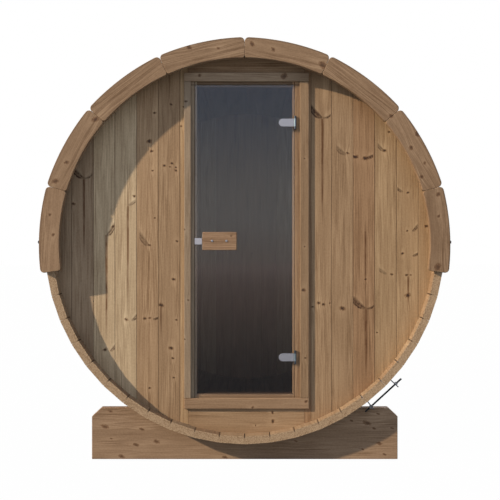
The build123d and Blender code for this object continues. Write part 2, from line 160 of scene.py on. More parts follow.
# Branches sawn along their length: across and height of the root, reach to the side, rise, how dark the
# lower edge is, how dark the inside is.
FRONT_BRANCHES = [
    (0.429, 1.891, -0.066, 0.074, 1.3, 1.1), (0.429, 1.891, 0.046, 0.033, 0.8, 0.05),
    (0.669, 0.838, -0.072, 0.069, 1.3, 0.9), (0.669, 0.838, 0.044, 0.03, 0.85, 0.05),
    (-0.887, 1.558, -0.059, 0.06, 1.3, 1.0), (-0.887, 1.558, 0.046, 0.033, 0.8, 0.2),
    (-0.763, 1.245, 0.044, 0.07, 0.8, 0.65), (-0.644, 1.411, 0.042, 0.03, 0.7, 0.5),
    (-0.625, 0.774, 0.03, 0.036, 0.7, 0.8), (-0.508, 0.78, 0.03, 0.014, 0.75, 0.8),
    (-0.745, 0.604, 0.031, 0.04, 0.7, 0.75), (-0.526, 1.188, -0.055, 0.078, 0.75, 0.6),
    (0.924, 1.268, 0.03, 0.036, 0.75, 0.85), (0.926, 1.132, 0.03, 0.018, 0.75, 0.8),
    (0.562, 1.688, -0.055, 0.05, 0.6, 0.6), (0.785, 1.031, -0.045, 0.033, 0.6, 0.5),
    (0.66, 1.664, 0.048, 0.026, 1.0, 1.0), (0.628, 1.672, -0.03, 0.012, 0.9, 0.9),
    (0.77, 1.71, -0.036, 0.042, 0.65, 0.65), (0.874, 1.484, -0.032, 0.026, 0.7, 0.65),
]
# Dark lines where a board holds the pith of its tree: across, lower end, upper end, half its width.
FRONT_PITHS = [
    (-0.887, 1.109, 1.555, 0.0022), (-0.763, 0.632, 1.248, 0.0024), (-0.644, 0.831, 1.407, 0.0020),
    (0.429, 1.268, 1.888, 0.0024), (0.669, 0.414, 0.836, 0.0030), (0.666, 0.851, 1.268, 0.0015),
    (0.902, 0.841, 1.019, 0.0018), (-0.462, 0.692, 0.851, 0.0016),
]
STILE_KNOTS = in_metres(
    (-333, 1275, 5), (-311, 888, 5), (-330, 672, 4), (-324, 1981, 6), (329, 1666, 4), (329, 1182, 4),
    (323, 943, 8), (332, 570, 5),
)
RAIL_KNOTS = in_metres((-248, 2124, 6), (216, 2117, 12), (337, 330, 6), (43, 297, 5))
PANEL_KNOTS = in_metres((153, 266, 6), (155, 219, 8), (60, 195, 4))
TRIM_KNOTS = in_metres(
    (-1050, 1354, 5), (-1032, 1246, 5), (-1020, 1534, 9), (-961, 1636, 7), (-804, 1867, 10), (-301, 2258, 8),
    (-142, 2251, 5), (40, 2274, 8), (154, 2245, 7), (420, 2160, 12), (790, 1888, 7), (933, 1789, 8),
    (898, 1715, 7), (971, 1633, 5), (954, 1557, 6), (1044, 1463, 7), (1047, 1345, 5), (1041, 1071, 12),
)
SADDLE_KNOTS = in_metres(
    (-776, 181, 13), (-746, 265, 7), (-742, 115, 5), (-686, 16, 10), (-604, 80, 9), (-572, 167, 8),
    (-491, 98, 10), (-110, 10, 10), (284, 100, 6), (594, 214, 6), (655, 55, 5), (679, 202, 14), (720, 171, 7),
    (741, 252, 6), (748, 88, 10), (777, 27, 6), (818, 173, 6),
)
HANDLE_KNOTS = in_metres((-75, 1240, 4))

# Boards of the front wall from the door outwards: tone, and how light it is.
LEFT_BOARDS = [("tan", 0.9), ("tan", 1.02), ("pale", 1.07), ("pale", 1.08), ("grey", 1), ("grey", 0.97)]
RIGHT_BOARDS = [("tan", 0.9), ("tan", 0.89), ("brown", 1.02), ("amber", 1), ("amber", 1.06), ("amber", 1.12)]


# ---- what a user may change


def tone(name, description, *shade):
    """A colour property."""
    return FloatVectorProperty(
        name=name, description=description, subtype="COLOR", min=0, max=1, default=shade
    )


def length(name, description, default):
    """A length property."""
    return FloatProperty(name=name, description=description, unit="LENGTH", min=0, default=default)


def strength(name, description, default):
    """A property for how strong something is."""
    return FloatProperty(name=name, description=description, min=0, default=default)


def direction(name, description, *way):
    """A direction property."""
    return FloatVectorProperty(name=name, description=description, subtype="DIRECTION", default=way)


class SaunaTones(bpy.types.PropertyGroup):
    """Tones of the heat-treated timber and of the fittings."""

    pale: tone("Pale board", "Sapwood boards of the walls", 0.438, 0.322, 0.200)
    tan: tone("Tan board", "Most boards of the walls", 0.35, 0.226, 0.128)
    grey: tone("Grey board", "Boards that took a greyer colour", 0.335, 0.232, 0.145)
    brown: tone("Brown board", "Darker boards of the walls", 0.296, 0.178, 0.096)
    amber: tone("Amber board", "Boards that took a warmer colour", 0.336, 0.220, 0.120)
    dusk: tone("Dark panel", "The panel over the door", 0.297, 0.187, 0.106)
    casing: tone("Casing", "Boards of the casing round the door", 0.285, 0.182, 0.108)
    trim: tone("Trim", "Thick curved trims", 0.252, 0.160, 0.094)
    stave: tone("Stave", "Lighter staves", 0.297, 0.207, 0.128)
    stave_dark: tone("Dark stave", "Darker staves", 0.250, 0.159, 0.093)
    stave_end: tone("Stave end", "Sawn ends of the staves", 0.374, 0.257, 0.158)
    saddle: tone("Saddle", "The two saddles", 0.290, 0.188, 0.115)
    handle: tone("Handle", "The handle's blocks", 0.27, 0.168, 0.100)
    knot: tone("Knot", "Heart of a knot", 0.045, 0.024, 0.015)
    satin: tone("Satin steel", "Hinges, latch and bolts", 0.42, 0.42, 0.44)
    zinc: tone("Zinc", "Nuts, washers and bands", 0.46, 0.48, 0.50)
    dark_steel: tone("Dark steel", "Threaded rods and trim bolts", 0.055, 0.062, 0.072)
    glass: tone("Glass", "Tint of the pane", 0.012, 0.012, 0.013)


class SaunaSizes(bpy.types.PropertyGroup):
    """Sizes of what is added to the model."""

    board_pitch: length("Board", "Width of a board of the end walls", 0.1196)
    first_joint: length("First joint", "First joint to the right of the door, from the middle", 0.4787)
    board_edge: length("Board edge", "Chamfer along the edges of a board", 0.0018)
    stave_edge: length("Stave edge", "Chamfer along the edges of a stave", 0.0035)
    frame_edge: length("Frame edge", "Rounding of the jambs' edges", 0.0012)
    saddle_edge: length("Saddle edge", "Rounding of a saddle's edges", 0.003)
    metal_edge: length("Metal edge", "Rounding of the fittings' edges", 0.0005)
    glass_edge: length("Glass edge", "Ground edge of the pane", 0.0008)
    thread_pitch: length("Thread", "Pitch of the threaded rods", 0.00125)
    rim_points: IntProperty(name="Rim", description="Points round an end wall", min=48, default=192)


class SaunaStage(bpy.types.PropertyGroup):
    """Camera, lamps and floor."""

    camera_place: FloatVectorProperty(
        name="Camera", description="Place of the camera", subtype="XYZ", unit="LENGTH",
        default=(0.029, -5.17, 1.1633),
    )
    lens: FloatProperty(name="Lens", description="Focal length", unit="CAMERA", min=1, default=55.3)
    lamp_way: direction("Lamp", "Way that the key light travels", 2.45, 1.0, -1.38)
    lamp_strength: strength("Lamp strength", "Strength of the key light", 5.03)
    lamp_tone: tone("Lamp colour", "Colour of the key light", 1.0, 0.86, 0.67)
    lamp_spread: FloatProperty(
        name="Spread", description="Angle that the key light fills", subtype="ANGLE", min=0,
        default=radians(1.2),
    )
    fill_way: direction("Fill", "Way that the soft light behind travels", -0.6, -0.8, -0.7)
    fill_strength: strength("Fill strength", "Strength of the light behind", 1.6)
    sky: tone("Sky", "Light from above", 0.43, 0.50, 0.62)
    haze: tone("Haze", "Light from the horizon", 0.46, 0.49, 0.55)
    ground: tone("Ground", "Colour of the light that comes off the floor", 0.245, 0.275, 0.30)
    floor_white: strength("White", "How white the floor shows", 0.99)


# ---- shader sums


class Wire:
    """A socket of a node tree. Sums on it add Math nodes, and add() adds any other node."""

    def __init__(self, tree, socket=None):
        self.tree = tree
        self.socket = socket

    def add(self, kind, settings=None, sockets=None, output=0):
        """Add a node: its settings first, then a value or a link for each of its sockets."""
        node = self.tree.nodes.new(kind)
        for name, value in (settings or {}).items():
            if name == "stops":
                set_stops(node.color_ramp.elements, value)
            else:
                setattr(node, name, value)
        for name, value in (sockets or {}).items():
            if isinstance(value, Wire):
                self.tree.links.new(value.socket, node.inputs[name])
            else:
                node.inputs[name].default_value = value
        found = node.outputs[output] if len(node.outputs) else None
        return Wire(self.tree, found)

    def maths(self, operation, *values):
        """A Math node on the given values."""
        return self.add("ShaderNodeMath", {"operation": operation}, dict(enumerate(values)))

    def __add__(self, other):
        return self.maths("ADD", self, other)

    __radd__ = __add__

    def __sub__(self, other):
        return self.maths("SUBTRACT", self, other)

    def __rsub__(self, other):
        return self.maths("SUBTRACT", other, self)

    def __mul__(self, other):
        return self.maths("MULTIPLY", self, other)

    __rmul__ = __mul__

    def __truediv__(self, other):
        return self.maths("DIVIDE", self, other)

    def __pow__(self, other):
        return self.maths("POWER", self, other)

    def __abs__(self):
        return self.maths("ABSOLUTE", self)

    def least(self, other):
        """The smaller of two values."""
        return self.maths("MINIMUM", self, other)

    def most(self, other):
        """The larger of two values."""
        return self.maths("MAXIMUM", self, other)

    def fade(self, start, end):
        """0 at start and 1 at end, with a soft turn at both."""
        sockets = {"Value": self, "From Min": start, "From Max": end}
        return self.add("ShaderNodeMapRange", {"interpolation_type": "SMOOTHSTEP"}, sockets)

    def point(self, x, y, z=0.0):
        """A vector of three values."""
        return self.add("ShaderNodeCombineXYZ", None, {0: x, 1: y, 2: z})

    def parts(self):
        """The three values of this vector."""
        first = self.add("ShaderNodeSeparateXYZ", None, {0: self})
        return [Wire(self.tree, socket) for socket in first.socket.node.outputs]

    def gap(self, place):
        """How far this point is from a place."""
        return self.add("ShaderNodeVectorMath", {"operation": "DISTANCE"}, {0: self, 1: place}, 1)

    def noise(self, detail=2.0, roughness=0.5):
        """Soft noise at this point, about 0.5."""
        sockets = {"Vector": self, "Scale": 1.0, "Detail": detail, "Roughness": roughness}
        return self.add("ShaderNodeTexNoise", None, sockets)

    def chance(self):
        """Three random values that change with this whole number."""
        return self.add("ShaderNodeTexWhiteNoise", {"noise_dimensions": "1D"}, {"W": self}, 1).parts()

    def blend(self, kind, factor, base, over):
        """A Mix node on two colours."""
        sockets = {0: factor, 6: solid(base), 7: solid(over)}
        return self.add("ShaderNodeMix", {"data_type": "RGBA", "blend_type": kind}, sockets, 2)

    def mix(self, base, over):
        """Colour base, and colour over where this mask is 1."""
        return self.blend("MIX", self, base, over)

    def times(self, base, over):
        """Two colours multiplied."""
        return self.blend("MULTIPLY", 1.0, base, over)

    def stain(self, base, by):
        """Colour base, multiplied by another colour where this mask is 1."""
        return self.mix(base, self.times(base, by))


def solid(value):
    """A colour with its alpha, or a wire as it is."""
    return value if isinstance(value, Wire) else (*value, 1.0)


def set_stops(elements, stops):
    """Give a colour ramp its stops, each a position and a colour."""
    for _ in stops[2:]:
        elements.new(1.0)
    for element, (position, shade) in zip(elements, stops):
        element.position = position
        element.color = (*shade, 1.0)


def new_finish(name):
    """An empty material, and the wire that its nodes start from."""
    material = bpy.data.materials.new(name)
    material.use_nodes = True
    material.node_tree.nodes.clear()
    return material, Wire(material.node_tree)


def close_finish(tree, **values):
    """Wire a Principled shader to the output. An underscore in a name stands for a space."""
    sockets = {name.replace("_", " "): value for name, value in values.items()}
    surface = tree.add("ShaderNodeBsdfPrincipled", None, sockets)
    tree.add("ShaderNodeOutputMaterial", None, {"Surface": surface})


def place_on(tree):
    """X, Y and Z of the piece's own coordinates."""
    return tree.add("ShaderNodeTexCoord", output="Object").parts()


def specks(tree, fineness, detail, roughness=0.5):
    """Noise on the piece's own coordinates, about 0. fineness is one number, or one for each way."""
    ways = fineness if isinstance(fineness, (tuple, list)) else (fineness,) * 3
    place = [part * by for part, by in zip(place_on(tree), ways)]
    return tree.point(*place).noise(detail, roughness) - 0.5


def far_out(one, other):
    """How far from 0 two values lie together."""
    return (one * one + other * other) ** 0.5


def bump(tree, height, strength, distance):
    """A normal from a height."""
    sockets = {"Height": height, "Strength": strength, "Distance": distance}
    return tree.add("ShaderNodeBump", None, sockets)


def scaled(shade, *by):
    """A colour times one number, or times three."""
    factors = by if len(by) == 3 else by * 3
    return tuple(part * factor for part, factor in zip(shade, factors))


# ---- timber


def upright(tree):
    """Across, along and into a board whose grain stands upright."""
    x, y, z = place_on(tree)
    return x, z, y


def level(tree):
    """Across, along and into a board whose grain lies level."""
    x, y, z = place_on(tree)
    return z, x, y


def laid_level(knots, way=1, size=1.0):
    """Knots of a board whose grain lies level, the other way round if way is -1."""
    return [(height, across * way, radius * size) for across, height, radius in knots]


def spun(tree, centre_z, angle):
    """Out at an angle from the middle of a ring, square to that, and along the barrel."""
    x, y, z = place_on(tree)
    up = z - centre_z
    side, out = tree.maths("SINE", angle), tree.maths("COSINE", angle)
    return x * out + up * side, up * out - x * side, y


def round_turn(tree, centre_z, pitch=1.0):
    """How many pitches of degrees a point lies round a ring, from its right side upwards."""
    x, _, z = place_on(tree)
    return tree.maths("ARCTAN2", z - centre_z, x) * (180 / pi / pitch)


def nearest_knot(tree, across, along, knots, squash, lean=0.0):
    """Distance to the nearest knot, in its own radii.

    squash shortens the knots along the board, and lean slants them.
    """
    spot = tree.point(across + along * lean, along * squash)
    nearest = None
    for knot_across, knot_along, radius in knots:
        gap = spot.gap((knot_across + knot_along * lean, knot_along * squash, 0.0)) / radius
        nearest = gap if nearest is None else nearest.least(gap)
    return nearest


def wild_knots(tree, across, along, row, radius, spacing, share):
    """Distance to a scattered knot, in its own radii. Row moves the pattern from board to board."""
    spot = tree.point(across * (1 / spacing), along * (0.82 / spacing), row * 7.31)
    cell = spot.add("ShaderNodeTexVoronoi", None, {"Vector": spot, "Scale": 1.0})
    luck, size, _ = Wire(tree.tree, cell.socket.node.outputs[1]).parts()
    there = luck.fade(share, share - 0.01)
    return cell * (spacing / radius) / (0.55 + size * 0.9) + (1 - there) * 20


def branch(across, along, root, height, reach, rise, edge, inside):
    """Two masks of a branch sawn along its length: its dark wood, and the pale wood in and over it.

    It starts at its root, reaches to one side and opens like a fan as it rises. Its lower edge is darkest.
    """
    way = (across - root) / reach
    run = way.most(0.0)
    bow = run ** 2.8 * (rise * 0.55)
    lift = along - height - bow
    tall = run ** 0.9 * rise - bow + 0.003
    part = lift / tall
    span = way.fade(-0.05, 0.1) * way.fade(1.06, 0.94)
    lower = abs(lift - 0.002).fade(0.0085, 0.002) * (way.fade(0.1, 0.7) * 0.5 + 0.5) * edge
    inner = abs(part - 0.6).fade(0.3, 0.05) * 0.4 + 0.6
    fill = part.fade(-0.15, 0.1) * part.fade(1.25, 0.85) * inner * inside
    pale = part.fade(0.15, 0.7) * part.fade(2.6, 1.1) * span * way.fade(-0.05, 0.3)
    return lower.most(fill) * span, pale


def pith_line(across, along, sway, line):
    """Mask of a dark pith line that thins out downwards."""
    place, low, high, half = line
    tall = high - low
    off = abs(across - place + sway) / (along.fade(low, high) * half + half)
    taper = along.fade(low - 0.02, low + tall * 0.4)
    stop = along.fade(high + 0.006, high - 0.006).most(along.fade(high + 0.12, high) * 0.35)
    return off.fade(2.4, 0.5) * taper * stop


def sawn_end(along, ends):
    """Mask of the sawn ends of a board that ends at this distance from 0, on either side."""
    return abs(along).fade(ends - 0.0022, ends - 0.0006)


def timber(
    name, base, axes, seed, knots=(), branches=(), piths=(), row=None, wild=None, ends=None,
    contrast=1.0, squash=1.35, dark=0.92, touch=None,
):
    """A planed board: fine streaks, growth rings cut by its surfaces, broad bands, knots and branches.

    base is a colour, or a function of the wires that gives one. axes gives the wires across, along and into
    the board. row gives a wire that changes from board to board. wild is the radius, spacing and share of
    scattered knots. ends is where the board's sawn ends lie. contrast is how strong the grain is, squash how
    long the knots are and dark how dark. touch gives a last mask of dark seams and painted shade lines.
    """
    shades = bpy.context.scene.sauna_tones
    luck = Random(seed)
    material, tree = new_finish(name)
    across, along, depth = axes(tree)[:3]
    middle = luck.uniform(-0.05, 0.05)
    deep = luck.uniform(0.02, 0.09)
    if row is not None:
        row = row(tree)
        first, second, third = row.chance()
        along = along + first * 9.0
        middle = second * 0.12 - 0.06
        deep = third * 0.07 + 0.015
    start = luck.uniform(0, 50)

    def cloudy(by_across, by_along, by_depth, detail, roughness=0.5):
        """Noise with its own fineness across, along and into the board, about 0."""
        place = tree.point(across * by_across, along * by_along + start, depth * by_depth)
        return place.noise(detail, roughness) - 0.5

    def lined(width, shift, drag, roughness):
        """Lines along the grain, about 0. The lower drag is, the longer they run."""
        return tree.point(width, start + shift, along * drag).noise(3.0, roughness) - 0.5

    wander = cloudy(2.2, 0.7, 2.2, 1.0)
    ripple = cloudy(16.0, 3.0, 16.0, 2.0)
    cloud = cloudy(11.0, 1.7, 11.0, 3.0, 0.6)
    ragged = cloudy(130.0, 90.0, 60.0, 1.0)

    lean = luck.uniform(-0.4, 0.4)
    near = nearest_knot(tree, across, along, knots, squash, lean) if knots else None
    aura = nearest_knot(tree, across, along, knots, squash * 0.4) if knots else None
    if wild:
        scattered = wild_knots(tree, across, along, row if row is not None else start, *wild)
        near = near.least(scattered) if near is not None else scattered
        aura = aura.least(scattered) if aura is not None else scattered

    bend = wander * 0.05 + ripple * 0.007
    if near is not None:
        bend = bend + aura.fade(5.0, 0.3) * 0.007
        near = near + ragged * 1.5 + ripple * 0.8
    flow = across + depth * 0.7 + bend
    across_pith = across - middle + wander * 0.02
    into_pith = depth + deep
    rings = far_out(across_pith, into_pith) + bend + along * luck.uniform(0.002, 0.005)
    fine = lined(flow * 230.0, 0.0, 5.0, 0.7)
    streak = lined(flow * 64.0, 9.0, 2.2, 0.65)
    ring = lined(rings * 75.0, 17.0, 1.1, 0.6)
    late = ring.fade(0.04, 0.14) + streak.fade(0.10, 0.2) * 0.7
    lively = cloudy(14.0, 1.3, 14.0, 1.0).fade(-0.16, 0.12) * 0.9 + 0.45
    lines = (fine * 1.9 + streak * 1.1 - late * 0.2) * lively

    value = 0.55 + (lines + ring * 0.7 + cloud * 0.85 + ragged * 0.4) * contrast * 0.9
    shade = value.mix((0.62, 0.55, 0.485), (1.34, 1.37, 1.40))
    surface = base(tree, row) if callable(base) else base
    if ends:
        sawn = sawn_end(axes(tree)[1], ends)
        speckle = tree.point(across * 150.0, depth * 150.0, start).noise(2.0, 0.8) - 0.5
        surface = sawn.mix(surface, shades.stave_end)
        value_end = 0.55 + speckle * 3.4 - late * 0.25 + cloud * 0.6
        shade = sawn.mix(shade, value_end.mix((0.66, 0.6, 0.54), (1.22, 1.25, 1.28)))
    surface = tree.times(surface, shade)

    rough = 0.62 + fine * 0.3 - late * 0.06
    height = fine * 0.6 + late * 0.3 + streak * 0.4
    for line in piths:
        patchy = tree.point(across * 60.0, along * 14.0 + start, line[0]).noise(2.0).fade(0.35, 0.6)
        mask = pith_line(across, along, wander * 0.006 + ripple * 0.004, line) * (0.7 + patchy * 0.3)
        surface = mask.stain(surface, (0.36, 0.25, 0.18))
    for root in branches:
        wedge, pale = branch(across, along + ripple * 0.012 + ragged * 0.008, *root)
        surface = (pale * 0.75).stain(surface, (1.2, 1.25, 1.29))
        surface = (wedge * (1.0 + ragged * 2.2 + ripple)).stain(surface, (0.2, 0.15, 0.13))
        height = height - wedge * 0.4
    if near is not None:
        halo = (aura + ripple * 2.5 + ragged * 1.5).fade(3.8, 1.2) * 0.55
        rim = near.fade(2.0, 1.05) * 0.8
        heart = near.fade(1.2, 0.5)
        surface = halo.stain(surface, (1.22, 1.26, 1.29))
        surface = rim.stain(surface, (0.52, 0.40, 0.32))
        surface = (heart * dark).mix(surface, shades.knot)
        rough = rough - heart * 0.14
        height = height - near.fade(1.5, 0.9) * 0.5
    # Dark seams, and painted shade where the touch mask draws it.
    if touch:
        surface = touch(tree).stain(surface, (0.16, 0.13, 0.12))
    normal = bump(tree, height, 0.35, 0.0006)
    close_finish(tree, Base_Color=surface, Roughness=rough, Normal=normal, Specular_IOR_Level=0.22)
    return material


def dress(material, *nodes):
    """Give CAD nodes a material."""
    for node in nodes:
        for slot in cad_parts[node].material_slots:
            slot.material = material


# ---- metal and glass


def brushed(name, shade, roughness, way, scale=1.0, painted_shade_from=None):
    """Steel brushed one way: 0 along X, 1 along Y, 2 along Z. It can take painted shade, darker and bluer,
    past one place across.
    """
    material, tree = new_finish(name)
    stretch = [700.0 * scale] * 3
    stretch[way] = 18.0 * scale
    hairs = specks(tree, stretch, 2.0, 0.6)
    smudge = specks(tree, 60.0, 2.0)
    value = 0.5 + hairs * 0.8 + smudge * 0.6
    surface = value.mix(scaled(shade, 0.84), scaled(shade, 1.1, 1.1, 1.09))
    if painted_shade_from:
        # Painted shade past that place, over the round knuckle of a hinge.
        past = place_on(tree)[0].fade(painted_shade_from - 0.001, painted_shade_from + 0.001)
        surface = past.stain(surface, (0.47, 0.6, 0.65))
    rough = roughness + hairs * 0.12 + smudge * 0.16
    normal = bump(tree, hairs, 0.15, 0.0002)
    close_finish(tree, Base_Color=surface, Metallic=1.0, Roughness=rough, Normal=normal)
    return material


def plated(name, shade, roughness, metallic=1.0):
    """Plated steel with the fine spangle and dull spots of use."""
    material, tree = new_finish(name)
    grain = specks(tree, 900.0, 2.0, 0.6)
    dull = specks(tree, 110.0, 3.0, 0.6).fade(0.02, 0.18)
    value = 0.5 + grain * 0.7
    surface = value.mix(scaled(shade, 0.8), scaled(shade, 1.15))
    surface = (dull * 0.5).mix(surface, scaled(shade, 0.62, 0.6, 0.56))
    rough = roughness + dull * 0.2 + grain * 0.1
    normal = bump(tree, grain, 0.2, 0.0002)
    close_finish(tree, Base_Color=surface, Metallic=metallic, Roughness=rough, Normal=normal)
    return material


def clear_pane(name, shade):
    """The clear face of the pane, with faint wipe marks in its gloss."""
    material, tree = new_finish(name)
    rough = 0.01 + specks(tree, (9.0, 9.0, 4.0), 4.0, 0.6).fade(0.0, 0.3) * 0.04
    close_finish(tree, Base_Color=(*shade, 1.0), Roughness=rough, Alpha=PANE_ALPHA, IOR=PANE_IOR)
    return material


def ground_edge(name):
    """The frosted rim of the pane."""
    material, tree = new_finish(name)
    frost = specks(tree, 1400.0, 1.0)
    surface = (0.5 + frost).mix((0.05, 0.065, 0.06), (0.10, 0.125, 0.12))
    close_finish(tree, Base_Color=surface, Roughness=0.45 + frost * 0.2, Alpha=0.45)
    return material


# ---- modelling


def pick(*pieces):
    """Select these pieces alone."""
    bpy.ops.object.select_all(action="DESELECT")
    for piece in pieces:
        piece.select_set(True)
    if pieces:
        bpy.context.view_layer.objects.active = pieces[0]


def named(name):
    """Name the active piece and its mesh."""
    piece = bpy.context.active_object
    piece.name = name
    piece.data.name = name
    return piece


def settle(name):
    """Name the new piece, and put its place in its mesh."""
    bpy.ops.object.transform_apply(location=True, rotation=True, scale=True)
    return named(name)


def block(name, low, high):
    """A block between two corners."""
    pick()
    low, high = Vector(low), Vector(high)
    bpy.ops.mesh.primitive_cube_add(size=1, location=(low + high) / 2, scale=high - low)
    return settle(name)


def drum(name, radius, depth, centre, axis, points):
    """A cylinder along an axis."""
    pick()
    turn = {"X": (0, pi / 2, 0), "Y": (pi / 2, 0, 0), "Z": (0, 0, 0)}[axis]
    bpy.ops.mesh.primitive_cylinder_add(
        vertices=points, radius=radius, depth=depth, location=centre, rotation=turn
    )
    return settle(name)


@contextmanager
def shaping(piece):
    """Edit mode on a piece, with nothing selected at first."""
    pick(piece)
    bpy.ops.object.mode_set(mode="EDIT")
    bpy.ops.mesh.select_all(action="DESELECT")
    yield
    bpy.ops.object.mode_set(mode="OBJECT")


def choose(piece, kind, wanted):
    """Select the faces, edges or points that are wanted, in edit mode."""
    bpy.ops.mesh.select_mode(type={"faces": "FACE", "edges": "EDGE", "verts": "VERT"}[kind])
    bpy.ops.mesh.select_all(action="DESELECT")
    mesh = bmesh.from_edit_mesh(piece.data)
    for part in getattr(mesh, kind):
        if wanted(part):
            part.select_set(True)
    bmesh.update_edit_mesh(piece.data)


def bevel_chosen(piece, kind, wanted, width, segments=1):
    """Bevel the edges, or the edges round the faces, that are wanted, in edit mode."""
    choose(piece, kind, wanted)
    bpy.ops.mesh.bevel(offset=width, segments=segments, affect="EDGES")


def cut_off(place, way):
    """Cut the piece in edit mode by a plane, and close it where its outer side was taken away."""
    bpy.ops.mesh.select_all(action="SELECT")
    bpy.ops.mesh.bisect(plane_co=place, plane_no=way, use_fill=True, clear_outer=True)


def make_faces_whole():
    """Merge the flat triangles of the piece in edit mode."""
    bpy.ops.mesh.select_all(action="SELECT")
    bpy.ops.mesh.customdata_custom_splitnormals_clear()
    bpy.ops.mesh.dissolve_limited(angle_limit=radians(0.5))


def apply_modifier(piece, kind, **settings):
    """Give a piece a modifier, and apply it."""
    pick(piece)
    modifier = piece.modifiers.new(kind.title(), kind)
    for name, value in settings.items():
        setattr(modifier, name, value)
    bpy.ops.object.modifier_apply(modifier=modifier.name)


def ease_edges(piece, width, segments=2, angle=35):
    """Round every edge that is sharper than an angle, and shade the piece by it."""
    limit = radians(angle)
    apply_modifier(piece, "BEVEL", width=width, segments=segments, limit_method="ANGLE", angle_limit=limit)
    shade(piece)
    apply_modifier(piece, "WEIGHTED_NORMAL", keep_sharp=True)


def shade(piece, angle=32):
    """Smooth shading below an angle."""
    pick(piece)
    bpy.ops.object.shade_smooth_by_angle(angle=radians(angle))


def carve(piece, cutter):
    """Cut one piece with another, and take the cutter away."""
    apply_modifier(piece, "BOOLEAN", operation="DIFFERENCE", solver="EXACT", object=cutter)
    bpy.data.objects.remove(cutter)


def joined(name, pieces):
    """Several pieces made one."""
    pick(*pieces)
    bpy.ops.object.join()
    return named(name)


def copied(piece, name):
    """A copy with its own mesh."""
    copy = bpy.data.objects.new(name, piece.data.copy())
    copy.data.name = name
    bpy.context.scene.collection.objects.link(copy)
    return copy


def eased_copy(node, name, width):
    """A copy of a CAD node with its flat faces made whole and its edges eased."""
    piece = copied(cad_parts[node], name)
    piece.data.materials.clear()
    with shaping(piece):
        bpy.ops.mesh.select_all(action="SELECT")
        bpy.ops.mesh.remove_doubles(threshold=MERGE_GAP)
        make_faces_whole()
    ease_edges(piece, width)
    return piece


def finish_piece(piece, material, body, slot, *nodes):
    """Give a new piece its material, its body and the nodes that it stands for, which it hides. Its slot is
    not used.
    """
    if material:
        piece.data.materials.clear()
        piece.data.materials.append(material)
    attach(piece, body)
    if nodes:
        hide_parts(*nodes)


def wall_board(name, front, left, right, low=None, high=None):
    """One board of a round end wall, cut from a disc, with its long edges chamfered."""
    sizes = bpy.context.scene.sauna_sizes
    middle = (0, front + WALL_THICKNESS / 2, AXIS_Z)
    piece = drum(name, WALL_RADIUS, WALL_THICKNESS, middle, "Y", sizes.rim_points)
    cuts = [(left, (-1, 0, 0)), (right, (1, 0, 0)), (low, (0, 0, -1)), (high, (0, 0, 1))]
    with shaping(piece):
        for place, way in cuts:
            if place is not None:
                cut_off([place * abs(part) for part in way], way)
        sides = [place for place in (left, right) if place is not None]

        def long_edge(edge):
            """An edge of a front or back face along a joint."""
            one, other = (vertex.co for vertex in edge.verts)
            on_joint = any(abs(one.x - side) + abs(other.x - side) < SAME_PLACE for side in sides)
            return on_joint and abs(one.y - other.y) < SAME_PLACE and abs(one.z - other.z) > 0.001

        bevel_chosen(piece, "edges", long_edge, sizes.board_edge)
    shade(piece, 20)
    return piece


def within(left, right, marks, slack=0.004):
    """The marks whose place across lies on a board."""
    low = -WALL_RADIUS if left is None else left - slack
    high = WALL_RADIUS if right is None else right + slack
    return [mark for mark in marks if low <= mark[0] <= high]


# ---- operators


def add_lamp(name, way, strength, shade, spread):
    """A lamp far off that shines one way."""
    turn = Vector(way).to_track_quat("-Z", "Y").to_euler()
    bpy.ops.object.light_add(type="SUN", location=(0, 0, 5), rotation=turn)
    lamp = bpy.context.active_object
    lamp.name = name
    lamp.data.energy = strength
    lamp.data.color = shade
    lamp.data.angle = spread


def make_floor(stage):
    """A floor that shows white but keeps the shadow. Light off it is that of pale ground, and gloss sees it
    glow as a painted reflection.
    """
    bpy.ops.mesh.primitive_circle_add(
        vertices=96, radius=FLOOR_RADIUS, fill_type="NGON", location=(0, 0, -0.0005)
    )
    floor = settle("floor")
    material, tree = new_finish("floor")
    x, y, _ = place_on(tree)
    seen = tree.add("ShaderNodeLightPath", output="Is Camera Ray")
    mirrored = tree.add("ShaderNodeLightPath", output="Is Glossy Ray")
    near_light = tree.add("ShaderNodeBsdfDiffuse", None, {"Color": solid(stage.ground)})
    # Gloss sees the floor glow by these stops, dark near and warm far off: a painted reflection in the pane
    # and the steel.
    stops = [
        (0.0, (0.16, 0.165, 0.185)), (0.10, (0.39, 0.34, 0.325)),
        (0.25, (0.60, 0.49, 0.46)), (1.0, (1.06, 0.88, 0.84)),
    ]
    stretch = (far_out(x, y) - 3.0) * (1 / 40)
    mirrored_floor = tree.add("ShaderNodeValToRGB", {"stops": stops}, {0: stretch})
    reflection = tree.add("ShaderNodeEmission", None, {"Color": mirrored_floor, "Strength": 1.0})
    white = tree.add("ShaderNodeEmission", None, {"Color": (1.0, 1.0, 1.0, 1.0), "Strength": 1.0})
    ground = tree.add("ShaderNodeMixShader", None, {0: mirrored, 1: near_light, 2: reflection})
    surface = tree.add("ShaderNodeMixShader", None, {0: seen * stage.floor_white, 1: ground, 2: white})
    tree.add("ShaderNodeOutputMaterial", None, {"Surface": surface})
    floor.data.materials.append(material)


